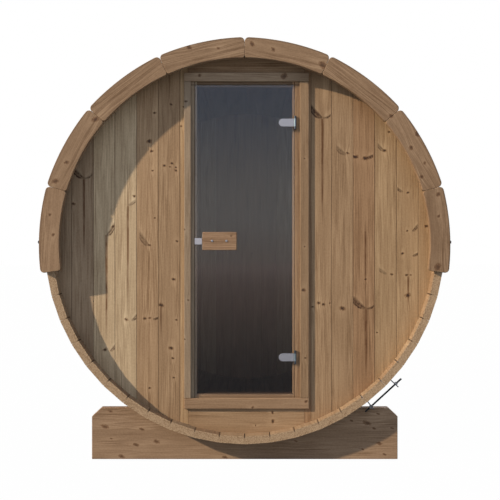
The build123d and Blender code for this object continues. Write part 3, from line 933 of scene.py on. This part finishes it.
def make_sky(scene, stage):
    """A sky that shows white and gives soft grey light. Gloss sees it warm low down and blue above."""
    world = bpy.data.worlds.new("sky")
    scene.world = world
    world.use_nodes = True
    world.node_tree.nodes.clear()
    tree = Wire(world.node_tree)
    height = tree.add("ShaderNodeTexCoord").parts()[2]
    light = height.fade(0.0, 0.5).mix(stage.haze, stage.sky)
    light = height.fade(0.0, -0.2).mix(light, stage.ground)
    seen = tree.add("ShaderNodeLightPath", output="Is Camera Ray")
    mirrored = tree.add("ShaderNodeLightPath", output="Is Glossy Ray")
    gloss = height.fade(-0.02, 0.05).mix((0.98, 0.88, 0.84), (1.10, 1.08, 1.08))
    gloss = height.fade(0.05, 0.24).mix(gloss, (0.56, 0.68, 0.92))
    gloss = height.fade(0.24, 0.8).mix(gloss, (0.42, 0.50, 0.66))
    light = mirrored.mix(light, gloss)
    light = seen.mix(light, (1.0, 1.0, 1.0))
    back = tree.add("ShaderNodeBackground", None, {"Color": light, "Strength": 1.0})
    tree.add("ShaderNodeOutputWorld", None, {"Surface": back})


class SAUNA_OT_stage(bpy.types.Operator):
    """Set the camera, the lamps, the sky and the floor"""

    bl_idname = "sauna.stage"
    bl_label = "Stage"

    def execute(self, context):
        stage = context.scene.sauna_stage
        pick()
        bpy.ops.object.camera_add(location=stage.camera_place, rotation=(pi / 2, 0, 0))
        camera = bpy.context.active_object
        camera.data.lens = stage.lens
        camera.data.sensor_width = 36
        camera.data.clip_end = 200
        context.scene.camera = camera
        add_lamp("key", stage.lamp_way, stage.lamp_strength, stage.lamp_tone, stage.lamp_spread)
        add_lamp("fill", stage.fill_way, stage.fill_strength, (1.0, 0.98, 0.95), radians(40))
        make_floor(stage)
        make_sky(context.scene, stage)
        context.scene.view_settings.view_transform = "Standard"
        return {"FINISHED"}


def part_staves(piece):
    """Make each stave of a row whole, apart from the staves that it touches."""

    def stave(face):
        """Number of the stave that a face belongs to."""
        inside = face.calc_center_median() - face.normal * 0.004
        return floor(degrees(atan2(inside.z - AXIS_Z, inside.x)) / STAVE_PITCH)

    with shaping(piece):
        numbers = {stave(face) for face in bmesh.from_edit_mesh(piece.data).faces}
        for number in sorted(numbers):
            choose(piece, "faces", lambda face: stave(face) == number)
            bpy.ops.mesh.split()
            bpy.ops.mesh.remove_doubles(threshold=MERGE_GAP)
        make_faces_whole()


def ease_staves(piece, width):
    """Chamfer the long edges of the staves."""

    def long_edge(edge):
        """A corner edge that runs along the shell."""
        one, other = (vertex.co for vertex in edge.verts)
        sharp = edge.is_manifold and edge.calc_face_angle() > SHARP
        return sharp and (one - other).xz.length < 0.0005 and abs(one.y - other.y) > 0.01

    with shaping(piece):
        bevel_chosen(piece, "edges", long_edge, width)
    shade(piece)


class SAUNA_OT_staves(bpy.types.Operator):
    """Finish the staves of the shell, each with its own grain"""

    bl_idname = "sauna.staves"
    bl_label = "Staves"

    def execute(self, context):
        tones = context.scene.sauna_tones

        def index(tree):
            """Number of the stave."""
            return tree.maths("FLOOR", round_turn(tree, AXIS_Z, STAVE_PITCH) + FULL_TURN / STAVE_PITCH)

        def axes(tree):
            """Round the shell, along it, and in from its outside."""
            out, across, along = spun(tree, AXIS_Z, (index(tree) + 0.5) * radians(STAVE_PITCH))
            return across, along, SHELL_RADIUS - out

        def base(tree, row):
            """Lighter and darker staves."""
            return (row + 0.37).chance()[0].mix(tones.stave_dark, tones.stave)

        def notches(tree):
            """Dark joint lines, with painted shade in the open corners of the joints on the sawn ends and in
            the grooves along the inner face.
            """
            across, along, depth = axes(tree)
            half = (SHELL_RADIUS - depth) * tan(radians(STAVE_PITCH / 2))
            joint = half - abs(across)
            inner = joint.fade(0.0055, 0.0015) * depth.fade(STAVE_THICKNESS - 0.010, STAVE_THICKNESS - 0.004)
            outer = joint.fade(0.0045, 0.001) * depth.fade(0.006, 0.002)
            seam = joint.fade(0.002, 0.0005) * 0.12
            past_wall = abs(along).fade(0.90, 0.93) * 0.8 + 0.2
            inner_face = depth.fade(STAVE_THICKNESS - 0.004, STAVE_THICKNESS - 0.001)
            groove = joint.fade(0.005, 0.0015) * inner_face * past_wall
            return (inner.most(outer).most(seam) * sawn_end(along, SHELL_END_Y)).most(groove) * 0.8

        finish = timber(
            "stave_timber", base, axes, 11, row=index, wild=(0.01, 0.3, 0.62), ends=SHELL_END_Y, touch=notches
        )
        for number in range(1, 7):
            node = f"shell_staves_{number}"
            piece = copied(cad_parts[node], f"staves_{number}")
            part_staves(piece)
            ease_staves(piece, context.scene.sauna_sizes.stave_edge)
            finish_piece(piece, finish, "barrel", "stave_timber", node)
        return {"FINISHED"}


def lay_board(name, left, right, base, seed, node):
    """One upright board with its knots."""
    piece = wall_board(name, FRONT_WALL_Y, left, right)
    knots = within(left, right, FRONT_KNOTS)
    branches = within(left, right, FRONT_BRANCHES)
    piths = within(left, right, FRONT_PITHS)

    def joints(tree):
        """The dark lines of its two long edges."""
        x = place_on(tree)[0]
        lines = [abs(x - side).fade(0.0036, 0.001) for side in (left, right) if side is not None]
        return lines[0].most(lines[-1]) * 0.36

    finish = timber(f"{name}_timber", base, upright, seed, knots, branches, piths, touch=joints)
    finish_piece(piece, finish, "barrel", "wall_timber", node)


class SAUNA_OT_front_wall(bpy.types.Operator):
    """Lay the boards of the front wall, with the two door posts and the panels over and under the door"""

    bl_idname = "sauna.front_wall"
    bl_label = "Front wall"

    def execute(self, context):
        tones = context.scene.sauna_tones
        sizes = context.scene.sauna_sizes
        pitch = sizes.board_pitch
        left_joints = [post_left_low.x - pitch * number for number in range(6)] + [None]
        right_joints = [sizes.first_joint + pitch * number for number in range(5)]
        right_joints = [post_right_high.x, *right_joints, None]
        sides = (("left", LEFT_BOARDS, left_joints, 20), ("right", RIGHT_BOARDS, right_joints, 40))
        for side, boards, joints, seed in sides:
            for number, (shade_name, light) in enumerate(boards):
                near, far = joints[number], joints[number + 1]
                left, right = (far, near) if side == "left" else (near, far)
                base = scaled(getattr(tones, shade_name), light)
                name = f"front_board_{side}_{number + 1}"
                lay_board(name, left, right, base, seed + number, f"front_wall_{side}")
        door_left, door_right = post_left_high.x, post_right_low.x
        pale = scaled(tones.amber, 1.12)
        lay_board("front_post_left", post_left_low.x, door_left, pale, 60, "door_post_left")
        lay_board("front_post_right", door_right, post_right_high.x, tones.brown, 61, "door_post_right")
        over = wall_board("front_panel_over_door", FRONT_WALL_Y, door_left, door_right, low=over_low.z)
        finish = timber("panel_over_timber", tones.dusk, level, 62)
        finish_piece(over, finish, "barrel", "wall_timber", "front_wall_over_door")
        under = wall_board("front_panel_under_door", FRONT_WALL_Y, door_left, door_right, high=under_high.z)
        finish = timber("panel_under_timber", scaled(tones.tan, 0.9), level, 63, laid_level(PANEL_KNOTS))
        finish_piece(under, finish, "barrel", "wall_timber", "front_wall_under_door")
        return {"FINISHED"}


class SAUNA_OT_back_wall(bpy.types.Operator):
    """Lay the boards of the back wall"""

    bl_idname = "sauna.back_wall"
    bl_label = "Back wall"

    def execute(self, context):
        tones = context.scene.sauna_tones
        pitch = context.scene.sauna_sizes.board_pitch
        joints = [None] + [pitch * (number - 8) for number in range(17)] + [None]
        boards = [
            wall_board(f"back_board_{number}", BACK_WALL_Y, left, right)
            for number, (left, right) in enumerate(zip(joints, joints[1:]))
        ]
        wall = joined("back_wall_boards", boards)

        def row(tree):
            """Number of the board."""
            return tree.maths("FLOOR", place_on(tree)[0] * (1 / pitch)) + 40.0

        def axes(tree):
            """Across each board from its middle, along it, and in from the outside."""
            x, y, z = place_on(tree)
            return tree.maths("WRAP", x, pitch / 2, -pitch / 2), z, y

        def base(tree, number):
            """Pale, tan and brown boards."""
            first, second, _ = (number + 0.53).chance()
            return second.fade(0.75, 0.8).mix(first.mix(tones.brown, tones.tan), tones.pale)

        finish = timber("back_wall_timber", base, axes, 70, row=row, wild=(0.009, 0.22, 0.6))
        finish_piece(wall, finish, "barrel", "wall_timber", "back_wall")
        return {"FINISHED"}


def pane_shadow_line(tree):
    """Painted shade: a dark line on the jambs along the pane's edge."""
    x, _, z = place_on(tree)
    left = abs(glass_low.x - SHADOW_LINE_GAP - x).fade(0.0042, 0.0018) * 0.7
    right = abs(x - glass_high.x - 0.001).fade(0.0045, 0.0015) * 0.6
    head = abs(z - glass_high.z - SHADOW_LINE_GAP).fade(0.0042, 0.0018) * 0.7
    return left.most(right).most(head)


def sill_shade(tree):
    """Painted shade on the top of the sill, in the gap under the pane."""
    z = place_on(tree)[2]
    return (z - glass_low.z).fade(0.0025, 0.0055)


def rail_tone(tree, _):
    """A greyer head rail over a brown sill rail. The head rail's greyer, bluer tone is painted cool shade."""
    casing = bpy.context.scene.sauna_tones.casing
    z = place_on(tree)[2]
    return z.fade(1.0, 1.4).mix(casing, scaled(casing, 1.04, 1.13, 1.22))


def stile_tone(tree, _):
    """A paler left stile and a browner right one."""
    casing = bpy.context.scene.sauna_tones.casing
    x = place_on(tree)[0]
    return x.fade(-0.05, 0.05).mix(scaled(casing, 0.94, 1.07, 1.2), scaled(casing, 0.91, 0.92, 0.89))


class SAUNA_OT_door_frame(bpy.types.Operator):
    """Ease the jambs and finish the casing round the door"""

    bl_idname = "sauna.door_frame"
    bl_label = "Door frame"

    def execute(self, context):
        tones = context.scene.sauna_tones
        edge = context.scene.sauna_sizes.frame_edge
        # Each jamb is the casing tone times factors of painted light and shade: the head darker and the left
        # paler and bluer for their shade, the right and the sill lighter for painted sun.
        jambs = {
            "left": (upright, pane_shadow_line, (1.19, 1.38, 1.58)),
            "right": (upright, pane_shadow_line, (1.36, 1.34, 1.28)),
            "head": (level, pane_shadow_line, (0.62,)),
            "sill": (level, sill_shade, (1.2,)),
        }
        for seed, (side, (axes, line, by)) in enumerate(jambs.items()):
            piece = eased_copy(f"door_jamb_{side}", f"jamb_{side}", edge)
            finish = timber(f"jamb_{side}_timber", scaled(tones.casing, *by), axes, 80 + seed, touch=line)
            finish_piece(piece, finish, "barrel", "frame_timber", f"door_jamb_{side}")
        stiles = timber("stile_timber", stile_tone, upright, 90, STILE_KNOTS)
        dress(stiles, "door_casing_stiles")
        rails = timber("rail_timber", rail_tone, level, 91, laid_level(RAIL_KNOTS), squash=1.0, dark=0.6)
        dress(rails, "door_casing_rails")
        return {"FINISHED"}


class SAUNA_OT_pane(bpy.types.Operator):
    """Make the clear pane with its ground edges"""

    bl_idname = "sauna.pane"
    bl_label = "Glass pane"

    def execute(self, context):
        tones = context.scene.sauna_tones
        pane = eased_copy("door_glass", "glass_pane", context.scene.sauna_sizes.glass_edge)
        finish_piece(pane, clear_pane("pane_glass", tones.glass), "door", "tinted_glass", "door_glass")
        pane.data.materials.append(ground_edge("pane_edge"))
        with shaping(pane):
            choose(pane, "faces", lambda face: abs(face.normal.y) < 0.9)
            pane.active_material_index = 1
            bpy.ops.object.material_slot_assign()
        return {"FINISHED"}


def make_bolt(x, z, radius):
    """A button-head bolt with a six-sided socket, and its shank through both blocks."""
    front, back = bolts_low.y, bolts_high.y
    head = drum("bolt_head", radius, BOLT_HEAD_DEPTH, (x, front + BOLT_HEAD_DEPTH / 2, z), "Y", 40)
    with shaping(head):
        bevel_chosen(head, "faces", lambda face: face.normal.y < -0.9, BOLT_ROUNDING, 5)
    carve(head, drum("bolt_key", BOLT_KEY_RADIUS, 0.0034, (x, front + 0.0005, z), "Y", 6))
    start = front + BOLT_ROUNDING
    shank = drum("bolt_shank", BOLT_SHANK_RADIUS, back - start, (x, (start + back) / 2, z), "Y", 24)
    piece = joined("bolt", [head, shank])
    shade(piece)
    return piece


class SAUNA_OT_handle(bpy.types.Operator):
    """Finish the handle's blocks and make its bolts"""

    bl_idname = "sauna.handle"
    bl_label = "Handle"

    def execute(self, context):
        tones = context.scene.sauna_tones
        knots = laid_level(HANDLE_KNOTS)
        finish = timber("handle_timber", scaled(tones.handle, 1.1), level, 100, knots, contrast=1.2)
        dress(finish, "door_handle_outside", "door_handle_inside")
        radius = (bolts_high.z - bolts_low.z) / 2
        height = (bolts_high.z + bolts_low.z) / 2
        bolts = [make_bolt(x, height, radius) for x in (bolts_low.x + radius, bolts_high.x - radius)]
        piece = joined("handle_bolts", bolts)
        metal = brushed("bolt_steel", tones.satin, 0.3, 1)
        finish_piece(piece, metal, "door", "satin_steel", "door_handle_bolts")
        return {"FINISHED"}


def make_screw(x, y, z):
    """A flat socket screw that stands on the inner clamp."""
    head = drum("screw", SCREW_RADIUS, SCREW_HEIGHT, (x, y + SCREW_HEIGHT / 2, z), "Y", 28)
    carve(head, drum("screw_key", SCREW_KEY_RADIUS, 0.0024, (x, y + 0.0022, z), "Y", 6))
    ease_edges(head, 0.0004, 1, 50)
    return head


def make_catch(tones):
    """The catch: a block with rounded corners, and a magnet in a round recess."""
    body = block("catch_body", catch_low, catch_high)
    ease_edges(body, 0.002, 3)
    x, z = (catch_low.x + catch_high.x) / 2, (catch_low.z + catch_high.z) / 2
    carve(body, drum("catch_recess", MAGNET_RADIUS + MAGNET_GAP, 0.004, (x, catch_low.y, z), "Y", 36))
    material, tree = new_finish("catch_plastic")
    grain = specks(tree, 1300.0, 1.0)
    surface = (0.5 + grain).mix((0.028, 0.026, 0.024), (0.05, 0.047, 0.044))
    normal = bump(tree, grain, 0.2, 0.0002)
    close_finish(tree, Base_Color=surface, Roughness=0.5 + grain * 0.2, Normal=normal)
    magnet = drum("catch_magnet", MAGNET_RADIUS, 0.0024, (x, catch_low.y + 0.0018, z), "Y", 36)
    ease_edges(magnet, 0.0005, 2)
    body.data.materials.append(material)
    magnet.data.materials.append(plated("magnet_nickel", tones.zinc, 0.25))
    piece = joined("door_magnet_catch", [body, magnet])
    finish_piece(piece, None, "barrel", "catch_block", "door_catch")


class SAUNA_OT_hinges(bpy.types.Operator):
    """Make the hinges with their clamp screws, the latch clip and its catch"""

    bl_idname = "sauna.hinges"
    bl_label = "Hinges, latch and catch"

    def execute(self, context):
        tones = context.scene.sauna_tones
        edge = context.scene.sauna_sizes.metal_edge
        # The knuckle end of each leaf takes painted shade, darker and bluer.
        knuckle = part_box("hinge_leaf_upper")[1].x - KNUCKLE_WIDTH
        satin = brushed("hinge_steel", scaled(tones.satin, 1.06), 0.5, 0, painted_shade_from=knuckle)
        foot = brushed("hinge_foot_steel", scaled(tones.satin, 0.2, 0.22, 0.24), 0.5, 2)
        for place in ("upper", "lower"):
            leaf = eased_copy(f"hinge_leaf_{place}", "leaf", edge)
            low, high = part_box(f"hinge_leaf_{place}")
            middle = (low.z + high.z) / 2
            screws = [make_screw(low.x + across, high.y, middle) for across in SCREW_PLACES]
            leaf = joined(f"hinge_{place}", [leaf, *screws])
            finish_piece(leaf, satin, "door", "satin_steel", f"hinge_leaf_{place}")
            bracket = eased_copy(f"hinge_bracket_{place}", f"hinge_foot_{place}", edge)
            finish_piece(bracket, foot, "barrel", "satin_steel", f"hinge_bracket_{place}")
        latch = eased_copy("door_latch_plate", "latch_clip", edge)
        clip = brushed("latch_steel", scaled(tones.satin, 1.2), 0.3, 2)
        finish_piece(latch, clip, "door", "satin_steel", "door_latch_plate")
        make_catch(tones)
        return {"FINISHED"}


def rim_shade_line(tree):
    """Painted shade: a darker line along the outer arc, where the rounding of the edge starts."""
    x, _, z = place_on(tree)
    return abs(far_out(x, z - TRIM_CENTRE_Z) - TRIM_RIM).fade(0.006, 0.001) * 0.35


def finish_back(tones):
    """One finish for all the back trims, which takes each one's chord from its angle."""

    def row(tree):
        """Number of the trim."""
        turn = round_turn(tree, TRIM_CENTRE_Z) - TRIM_START
        return tree.maths("FLOOR", turn.maths("FLOORED_MODULO", turn, FULL_TURN) / TRIM_PITCH)

    def axes(tree):
        """Axes of the trim that a point lies on."""
        return spun(tree, TRIM_CENTRE_Z, (row(tree) + 0.5) * radians(TRIM_PITCH) + radians(TRIM_START))

    def base(tree, number):
        """Trims differ a little."""
        return (number + 0.71).chance()[0].mix(scaled(tones.trim, 0.9), scaled(tones.trim, 1.08))

    finish = timber(
        "back_trim_timber", base, axes, 120, row=row, wild=(0.009, 0.2, 0.6), contrast=1.25, dark=0.6
    )
    dress(finish, "back_trims")


class SAUNA_OT_trims(bpy.types.Operator):
    """Finish the curved trims, and the bolts in their outer edges"""

    bl_idname = "sauna.trims"
    bl_label = "Trims"

    def execute(self, context):
        tones = context.scene.sauna_tones
        for number, light in enumerate(TRIM_LIGHTS):
            middle = radians(TRIM_START + TRIM_PITCH * (number + 0.5))
            low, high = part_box(f"front_trim_{number + 1}")
            knots = []
            for across, height, radius in TRIM_KNOTS:
                if low.x <= across <= high.x and low.z <= height <= high.z:
                    up = height - TRIM_CENTRE_Z
                    out = across * cos(middle) + up * sin(middle)
                    knots.append((out, up * cos(middle) - across * sin(middle), radius))
            finish = timber(
                f"trim_{number + 1}_timber", scaled(tones.trim, light),
                lambda tree: spun(tree, TRIM_CENTRE_Z, middle), 110 + number, knots,
                contrast=1.25, squash=0.9, dark=0.5, touch=rim_shade_line,
            )
            dress(finish, f"front_trim_{number + 1}")
        finish_back(tones)
        dress(plated("trim_bolt_steel", tones.dark_steel, 0.4), "trim_side_bolts")
        return {"FINISHED"}


def stand_up(piece, angle):
    """Turn a piece that was made at the top of the shell to its place round the barrel."""
    piece.rotation_euler = (0, radians(90 - angle), 0)
    piece.location.z = AXIS_Z
    pick(piece)
    bpy.ops.object.transform_apply(location=True, rotation=True, scale=True)


class SAUNA_OT_bands(bpy.types.Operator):
    """Finish the steel bands and make their tighteners"""

    bl_idname = "sauna.bands"
    bl_label = "Bands and tighteners"

    def execute(self, context):
        tones = context.scene.sauna_tones
        dress(brushed("band_steel_strip", scaled(tones.zinc, 0.95), 0.38, 1, 0.6), "front_band", "back_band")
        self.rod_metal = plated("rod_steel", scaled(tones.dark_steel, 0.6), 0.5, 0.4)
        self.nut_metal = plated("nut_zinc", scaled(tones.zinc, 1.15), 0.3)
        self.lug_metal = plated("lug_steel", scaled(tones.zinc, 0.42), 0.42)
        for end in ("front", "back"):
            low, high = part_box(f"{end}_band_tightener")
            self.make_tightener(end, (low.y + high.y) / 2, (high.y - low.y) / 2)
        return {"FINISHED"}

    def make_tightener(self, end, y, half_width):
        """Two lugs on the hoop's ends, a threaded rod through them, and a washer and nut outside each."""
        pieces = [self.make_rod(bpy.context.scene.sauna_sizes.thread_pitch)]
        for side in (-1, 1):
            pieces += self.make_nut(side)
        for piece in pieces:
            piece.location = (0, y, 0)
            stand_up(piece, TIGHTENER_ANGLE)
        for side in (-1, 1):
            lug = self.make_lug(side, half_width)
            lug.location = (0, y, 0)
            stand_up(lug, TIGHTENER_ANGLE + side * LUG_ANGLE)
            pieces.append(lug)
        piece = joined(f"{end}_tightener", pieces)
        finish_piece(piece, None, "barrel", "dark_steel", f"{end}_band_tightener")

    def make_rod(self, pitch):
        """The threaded rod, as a stack of chamfered rings closed at both ends."""
        turns = round(ROD_LENGTH / pitch)
        centre = (-ROD_LENGTH / 2 + pitch / 2, 0, SHELL_RADIUS + ROD_HEIGHT)
        rod = drum("rod", ROD_RADIUS, pitch, centre, "X", 14)
        with shaping(rod):
            bevel_chosen(rod, "faces", lambda face: abs(face.normal.x) > 0.9, pitch * 0.42)
            choose(rod, "faces", lambda face: abs(face.normal.x) > 0.99)
            bpy.ops.mesh.delete(type="FACE")
        apply_modifier(
            rod, "ARRAY", count=turns, use_relative_offset=False, use_constant_offset=True,
            constant_offset_displace=(ROD_LENGTH / turns, 0, 0),
            use_merge_vertices=True, merge_threshold=0.00002,
        )
        with shaping(rod):
            bpy.ops.mesh.select_all(action="SELECT")
            bpy.ops.mesh.fill_holes(sides=0)
        rod.data.materials.append(self.rod_metal)
        return rod

    def make_nut(self, side):
        """A washer and a chamfered nut outside one lug."""
        height = SHELL_RADIUS + ROD_HEIGHT
        start = LUG_SPACING / 2 + LUG_THICKNESS
        middle = (side * (start + WASHER_THICKNESS + NUT_THICKNESS / 2), 0, height)
        place = (side * (start + WASHER_THICKNESS / 2), 0, height)
        washer = drum("washer", WASHER_RADIUS, WASHER_THICKNESS, place, "X", 32)
        ease_edges(washer, 0.0004, 1)
        nut = drum("nut", NUT_RADIUS, NUT_THICKNESS, middle, "X", 6)
        ease_edges(nut, 0.0007, 2, 25)
        carve(nut, drum("nut_bore", ROD_RADIUS + 0.0001, 0.012, middle, "X", 24))
        for piece in (washer, nut):
            piece.data.materials.append(self.nut_metal)
            shade(piece)
        return [washer, nut]

    def make_lug(self, side, half_width):
        """A plate that stands on the band with rounded top corners, and its foot bent along the shell."""
        base = SHELL_RADIUS + BAND_THICKNESS
        top = base + LUG_HEIGHT
        half = LUG_THICKNESS / 2

        def top_corner(edge):
            """One of the two short edges at the top."""
            one, other = (vertex.co for vertex in edge.verts)
            return min(one.z, other.z) > top - SAME_PLACE and abs(one.x - other.x) > 0.001

        lug = block("lug", (-half, -half_width, base), (half, half_width, top))
        with shaping(lug):
            bevel_chosen(lug, "edges", top_corner, LUG_CORNER, 6)
        ease_edges(lug, 0.0006, 2)
        foot = drum("foot", base + FOOT_THICKNESS, 2 * half_width, (0, 0, 0), "Y", 360)
        carve(foot, drum("foot_inside", base, 0.1, (0, 0, 0), "Y", 360))
        with shaping(foot):
            for turn, way in ((0, -side), (side * FOOT_LENGTH / SHELL_RADIUS, side)):
                cut_off((0, 0, 0), (way * cos(turn), 0, -way * sin(turn)))
            cut_off((0, 0, 0), (0, 0, -1))
        ease_edges(foot, 0.0005, 1)
        for piece in (lug, foot):
            piece.data.materials.append(self.lug_metal)
        return joined("lug", [lug, foot])


class SAUNA_OT_saddles(bpy.types.Operator):
    """Make the two saddles that the barrel lies on"""

    bl_idname = "sauna.saddles"
    bl_label = "Saddles"

    def execute(self, context):
        tones = context.scene.sauna_tones
        edge = context.scene.sauna_sizes.saddle_edge
        wide, tall = SADDLE_CORNER
        for number, end in enumerate(("front", "back")):
            low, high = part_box(f"{end}_saddle")
            piece = block(f"{end}_cradle", low, high)
            with shaping(piece):
                for side in (-1, 1):
                    cut_off((side * (high.x - wide), 0, high.z), (side * tall, 0, wide))
            middle = (0, (low.y + high.y) / 2, AXIS_Z)
            carve(piece, drum("seat", SHELL_RADIUS + SEAT_GAP, 0.2, middle, "Y", 384))
            ease_edges(piece, edge, 3, 24)
            finish = timber(
                f"{end}_saddle_timber", tones.saddle, level, 130 + number,
                laid_level(SADDLE_KNOTS, -1 if number else 1, 0.6), contrast=1.15, squash=0.5, dark=0.45,
            )
            finish_piece(piece, finish, "barrel", "saddle_timber", f"{end}_saddle")
        return {"FINISHED"}


class SAUNA_PT_panel(bpy.types.Panel):
    """Steps of the making, in order"""

    bl_label = "Barrel sauna"
    bl_space_type = "VIEW_3D"
    bl_region_type = "UI"
    bl_category = "Sauna"

    def draw(self, context):
        column = self.layout.column()
        for step in STEPS:
            column.operator(step.bl_idname)
        for group in (context.scene.sauna_tones, context.scene.sauna_sizes, context.scene.sauna_stage):
            box = self.layout.box()
            for name in group.bl_rna.properties.keys():
                if name not in ("rna_type", "name"):
                    box.prop(group, name)


STEPS = (
    SAUNA_OT_stage,
    SAUNA_OT_staves,
    SAUNA_OT_front_wall,
    SAUNA_OT_back_wall,
    SAUNA_OT_door_frame,
    SAUNA_OT_pane,
    SAUNA_OT_handle,
    SAUNA_OT_hinges,
    SAUNA_OT_trims,
    SAUNA_OT_bands,
    SAUNA_OT_saddles,
)
GROUPS = {"sauna_tones": SaunaTones, "sauna_sizes": SaunaSizes, "sauna_stage": SaunaStage}
CLASSES = (*GROUPS.values(), *STEPS, SAUNA_PT_panel)


def register():
    for kind in CLASSES:
        bpy.utils.register_class(kind)
    for name, group in GROUPS.items():
        setattr(bpy.types.Scene, name, PointerProperty(type=group))


def unregister():
    for name in GROUPS:
        delattr(bpy.types.Scene, name)
    for kind in reversed(CLASSES):
        bpy.utils.unregister_class(kind)


def main():
    """Make every piece in order."""
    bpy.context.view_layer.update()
    register()
    for step in STEPS:
        family, name = step.bl_idname.split(".")
        getattr(getattr(bpy.ops, family), name)()


if __name__ == "__main__":
    main()
